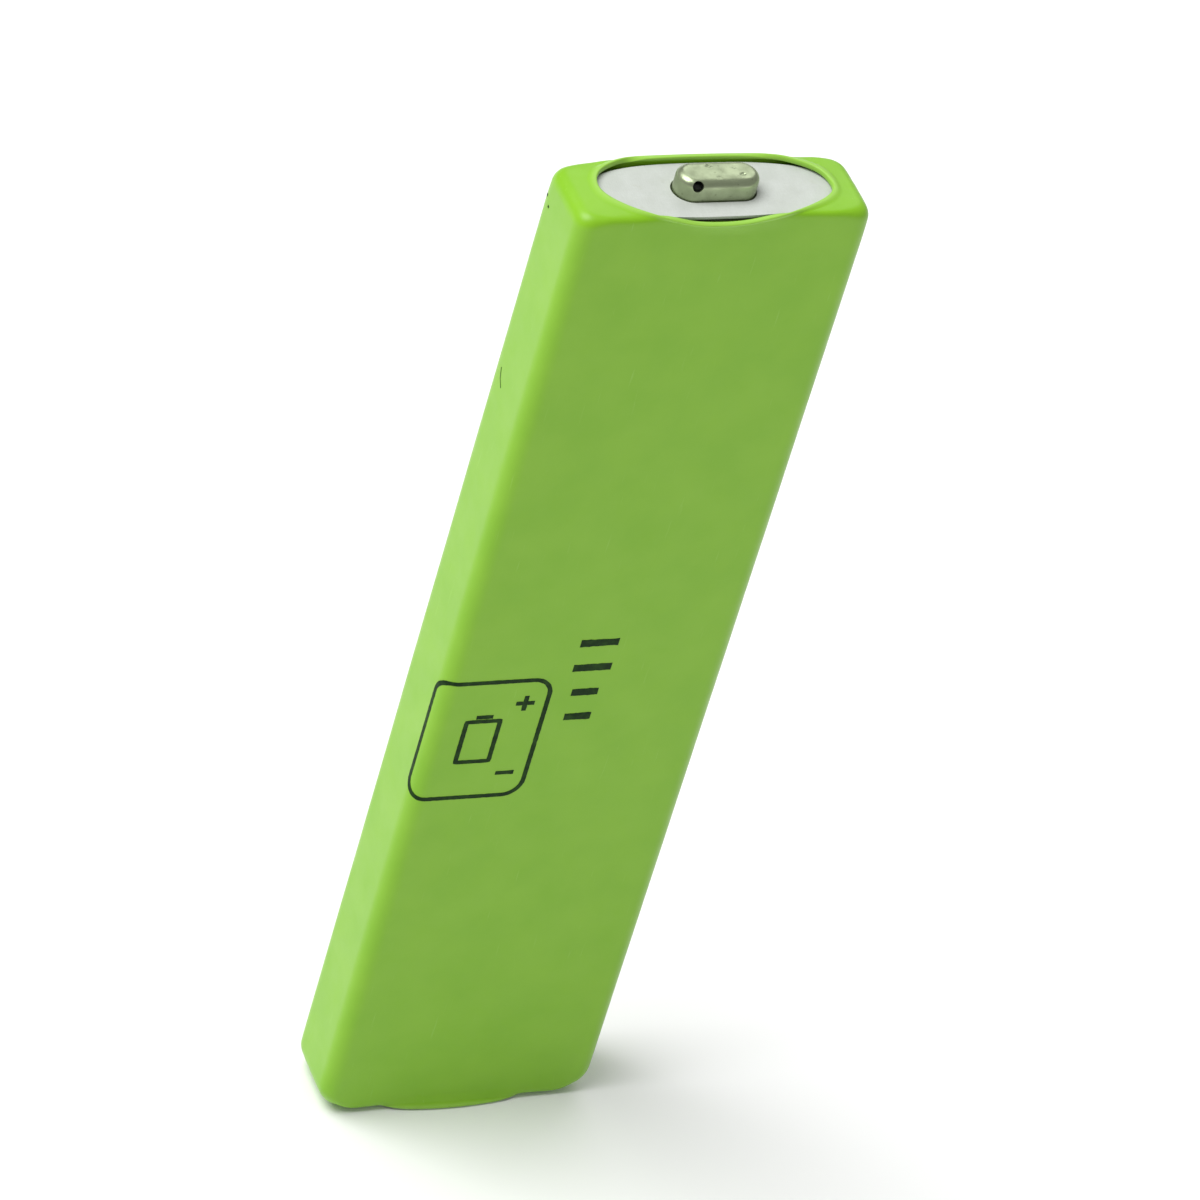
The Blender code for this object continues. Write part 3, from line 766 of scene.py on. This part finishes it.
def sleeve_film():
    """Yellow-green PVC shrink film: satin, faintly mottled, scuffed, with a painted highlight along
    its cut rims.
    """
    film = Surface("sleeve_film", IOR=1.40, Coat_Weight=0.40, Coat_Roughness=0.35, Coat_IOR=1.35)
    mottle = film.spread(film.noise(3.0, detail=4.0), 0.35, 0.65)
    colour = film.mix(mottle, (0.214, 0.490, 0.006), (0.236, 0.515, 0.012))
    scuffs = film.spread(film.noise(0.5, stretch=(0.35, 0.35, 5.0), detail=5.0, seed=2.0), 0.66, 0.78)
    colour = film.mix(film.scaled(scuffs, 0.25), colour, (0.46, 0.72, 0.18))
    # Painted highlight: the rims are lightened towards pale green, standing in for light caught on the
    # bead.
    rim = film.attribute("rim")
    colour = film.mix(film.scaled(rim, 0.35), colour, (0.42, 0.70, 0.15))
    film.colour(colour)
    wear = film.spread(film.noise(1.1, detail=5.0, seed=4.0), 0.3, 0.7, 0.36, 0.47)
    film.roughness(film.sum(wear, film.scaled(scuffs, 0.10)))
    film.relief(film.noise(2.2, detail=2.0, seed=5.0), 0.010)
    film.relief(film.noise(0.22, detail=3.0, seed=6.0), 0.0022)
    return film.material


def printed_ink():
    """Dark green-black ink, a little thin in places."""
    ink = Surface("printed_ink", IOR=1.4, Specular_IOR_Level=0.2)
    patchy = ink.spread(ink.noise(0.45, detail=4.0, seed=1.0), 0.42, 0.72)
    ink.colour(ink.mix(patchy, (0.004, 0.026, 0.001), (0.016, 0.060, 0.004)))
    ink.roughness(ink.spread(ink.noise(0.3, seed=2.0), 0.3, 0.7, 0.45, 0.62))
    ink.relief(ink.noise(0.12, seed=3.0), 0.003)
    return ink.material


def fibre_paper():
    """Off-white vulcanised fibre: short crossing fibres, faint clouds and handling stains."""
    paper = Surface("fibre_paper", IOR=1.45, Specular_IOR_Level=0.3)
    clouds = paper.spread(paper.noise(1.4, detail=4.0), 0.35, 0.65)
    colour = paper.mix(clouds, (0.50, 0.53, 0.49), (0.55, 0.58, 0.545))
    fibres = paper.noise(0.10, stretch=(3.0, 0.5, 1.0), detail=4.0, seed=2.0)
    crossing = paper.noise(0.10, stretch=(0.5, 3.0, 1.0), detail=4.0, seed=3.0)
    strands = paper.sum(fibres, crossing)
    colour = paper.mix(paper.spread(strands, 0.85, 1.25, 0.0, 0.30), colour, (0.44, 0.47, 0.42))
    stain = paper.spread(paper.noise(0.8, detail=5.0, seed=8.0), 0.62, 0.72, 0.0, 0.35)
    colour = paper.mix(stain, colour, (0.44, 0.465, 0.39))
    paper.colour(colour)
    paper.roughness(paper.spread(strands, 0.7, 1.3, 0.68, 0.85))
    paper.relief(strands, 0.010)
    return paper.material


# The default tint, which only the cap takes, is grey nickel with a painted green reflection of the
# sleeve in it.
def worn_nickel(name, tint=(0.42, 0.49, 0.31), low=0.30, high=0.48, grain=(1, 1, 1)):
    """Nickel plate: cloudy tarnish, fine scratches along its grain and satin gloss."""
    nickel = Surface(name, metallic=1.0)
    tarnish = nickel.spread(nickel.noise(0.9, detail=5.0), 0.38, 0.68)
    dull = tuple(0.80 * channel for channel in tint)
    colour = nickel.mix(tarnish, tint, dull)
    spots = nickel.spread(nickel.cells(0.55), 0.06, 0.14, 0.5, 0.0)
    colour = nickel.mix(spots, colour, tuple(0.45 * channel for channel in tint))
    nickel.colour(colour)
    lines = nickel.noise(0.10, stretch=grain, detail=4.0, seed=3.0)
    nickel.roughness(nickel.spread(nickel.sum(tarnish, lines), 0.5, 1.4, low, high))
    nickel.relief(lines, 0.0025)
    nickel.relief(nickel.noise(0.6, detail=3.0, seed=5.0), 0.006)
    return nickel.material


def moulded_plastic(name, light, dark, roughness, grain_depth):
    """Plain moulded or die-cut plastic with slight clouds and a fine skin."""
    plastic = Surface(name, IOR=1.5)
    clouds = plastic.spread(plastic.noise(1.6, detail=4.0), 0.35, 0.65)
    plastic.colour(plastic.mix(clouds, light, dark))
    skin = plastic.noise(0.12, detail=3.0, seed=2.0)
    plastic.roughness(plastic.spread(skin, 0.3, 0.7, roughness - 0.07, roughness + 0.07))
    plastic.relief(skin, grain_depth)
    return plastic.material


def pasted_foam(name, light, dark, pore, metal):
    """Electrode plate: active paste pressed into a porous nickel carrier that glints through."""
    plate = Surface(name)
    pores = plate.cells(pore, "DISTANCE_TO_EDGE")
    carrier = plate.spread(pores, 0.02, 0.10, 1.0, 0.0)
    paste = plate.spread(plate.noise(pore * 3, detail=5.0), 0.35, 0.65)
    colour = plate.mix(paste, light, dark)
    colour = plate.mix(plate.scaled(carrier, 0.55), colour, metal)
    plate.colour(colour)
    plate.feed(plate.shader.inputs["Metallic"], plate.scaled(carrier, 0.6))
    plate.roughness(plate.spread(carrier, 0.0, 1.0, 0.85, 0.5))
    plate.relief(pores, pore * 0.15)
    return plate.material


def fleece():
    """Non-woven separator: fine white fibres lying every way."""
    cloth = Surface("separator_fleece", IOR=1.45, Specular_IOR_Level=0.25)
    upright = cloth.noise(0.07, stretch=(0.6, 0.6, 4.0), detail=4.0)
    across = cloth.noise(0.07, stretch=(4.0, 4.0, 0.6), detail=4.0, seed=2.0)
    strands = cloth.sum(upright, across)
    clouds = cloth.spread(cloth.noise(2.0, seed=5.0), 0.35, 0.65)
    colour = cloth.mix(clouds, (0.80, 0.80, 0.76), (0.72, 0.72, 0.66))
    cloth.colour(cloth.mix(cloth.spread(strands, 0.85, 1.2, 0.0, 0.4), colour, (0.55, 0.55, 0.50)))
    cloth.roughness(cloth.spread(strands, 0.7, 1.3, 0.78, 0.95))
    cloth.relief(strands, 0.02)
    return cloth.material


def pale_floor():
    ground = Surface("pale_floor", Specular_IOR_Level=0.0)
    tone = ground.spread(ground.noise(60.0, detail=2.0), 0.3, 0.7)
    ground.colour(ground.mix(tone, (0.93, 0.93, 0.93), (0.95, 0.95, 0.95)))
    ground.roughness(0.9)
    return ground.material


def dress_cad_nodes():
    """Give every carried-over CAD node its own finish."""
    steel = worn_nickel("drawn_steel", (0.58, 0.58, 0.54), 0.26, 0.42, grain=(0.4, 0.4, 6.0))
    bright = worn_nickel("rolled_nickel", (0.66, 0.64, 0.58), 0.24, 0.38, grain=(0.4, 0.4, 5.0))
    nylon = moulded_plastic("moulded_nylon", (0.76, 0.73, 0.64), (0.68, 0.65, 0.55), 0.42, 0.003)
    rubber = moulded_plastic("valve_rubber", (0.022, 0.022, 0.023), (0.034, 0.034, 0.035), 0.68, 0.008)
    sheet = moulded_plastic("insulator_sheet", (0.80, 0.80, 0.76), (0.72, 0.72, 0.68), 0.55, 0.006)
    green_black, dark_green = (0.050, 0.075, 0.050), (0.030, 0.050, 0.032)
    hydroxide = pasted_foam("nickel_hydroxide", green_black, dark_green, 0.32, (0.45, 0.45, 0.42))
    dark_grey, black = (0.060, 0.060, 0.066), (0.035, 0.035, 0.040)
    hydride = pasted_foam("metal_hydride", dark_grey, black, 0.60, (0.30, 0.30, 0.31))
    separator = fleece()
    finishes = {
        "can": steel,
        "lid_plate": steel,
        "terminal_rivet": bright,
        "collector_plate": bright,
        "positive_lead": bright,
        "outer_gasket": nylon,
        "inner_gasket": nylon,
        "vent_valve": rubber,
        "upper_insulator": sheet,
        "lower_insulator": sheet,
        "positive_plate": hydroxide,
        "negative_plate": hydride,
        "separator": separator,
    }
    for name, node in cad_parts.items():
        kind = name.rstrip("0123456789").rstrip("_")
        if kind not in finishes:
            continue
        for slot in node.material_slots:
            slot.material = finishes[kind]


# ---------------------------------------------------------------- floor, light and camera


def direction(azimuth, elevation):
    """Unit vector towards a place at an azimuth from -Y, positive towards +X, and an elevation."""
    turn, rise = math.radians(azimuth), math.radians(elevation)
    return Vector((math.sin(turn) * math.cos(rise), -math.cos(turn) * math.cos(rise), math.sin(rise)))


def make_floor():
    bm = bmesh.new()
    bmesh.ops.create_grid(bm, x_segments=8, y_segments=8, size=FLOOR_SIZE / 2 * MM)
    mesh = bpy.data.meshes.new("floor")
    bm.to_mesh(mesh)
    bm.free()
    mesh.materials.append(pale_floor())
    floor = bpy.data.objects.new("floor", mesh)
    bpy.context.scene.collection.objects.link(floor)


def make_panel(name, azimuth, elevation, distance, size, power):
    """A square soft light that faces the middle of the cell."""
    light = bpy.data.lights.new(name, "AREA")
    light.shape = "SQUARE"
    light.size = size * MM
    light.energy = power
    lamp = bpy.data.objects.new(name, light)
    bpy.context.scene.collection.objects.link(lamp)
    towards = direction(azimuth, elevation)
    lamp.location = (Vector(AIM) + towards * distance) * MM
    lamp.rotation_euler = towards.to_track_quat("Z", "Y").to_euler()


def make_light():
    make_panel("key", KEY_AZIMUTH, KEY_ELEVATION, KEY_DISTANCE, KEY_SIZE, KEY_POWER)
    make_panel("back", BACK_AZIMUTH, BACK_ELEVATION, BACK_DISTANCE, BACK_SIZE, BACK_POWER)
    world = bpy.data.worlds.new("studio")
    world.use_nodes = True
    sky = world.node_tree.nodes["Background"]
    sky.inputs["Color"].default_value = (1.0, 1.0, 1.0, 1.0)
    sky.inputs["Strength"].default_value = SKY_STRENGTH
    bpy.context.scene.world = world
    bpy.context.scene.view_settings.view_transform = "Standard"


def make_camera():
    camera = bpy.data.cameras.new("camera")
    camera.lens = LENS
    camera.clip_start = 0.01
    camera.clip_end = 20.0
    holder = bpy.data.objects.new("camera", camera)
    bpy.context.scene.collection.objects.link(holder)
    towards = direction(CAMERA_AZIMUTH, CAMERA_ELEVATION)
    roll = Matrix.Rotation(math.radians(CAMERA_ROLL), 3, "Z")
    turn = towards.to_track_quat("Z", "Y").to_matrix() @ roll
    place = (Vector(AIM) + towards * CAMERA_DISTANCE) * MM
    holder.matrix_world = Matrix.Translation(place) @ turn.to_4x4()
    bpy.context.scene.camera = holder


make_camera()
make_light()
make_floor()
make_sleeve(sleeve_film())
make_print(printed_ink())
# The cap's green cast is a painted reflection of the sleeve.
make_cap(worn_nickel("cap_nickel"))
make_washer(fibre_paper())
dress_cad_nodes()
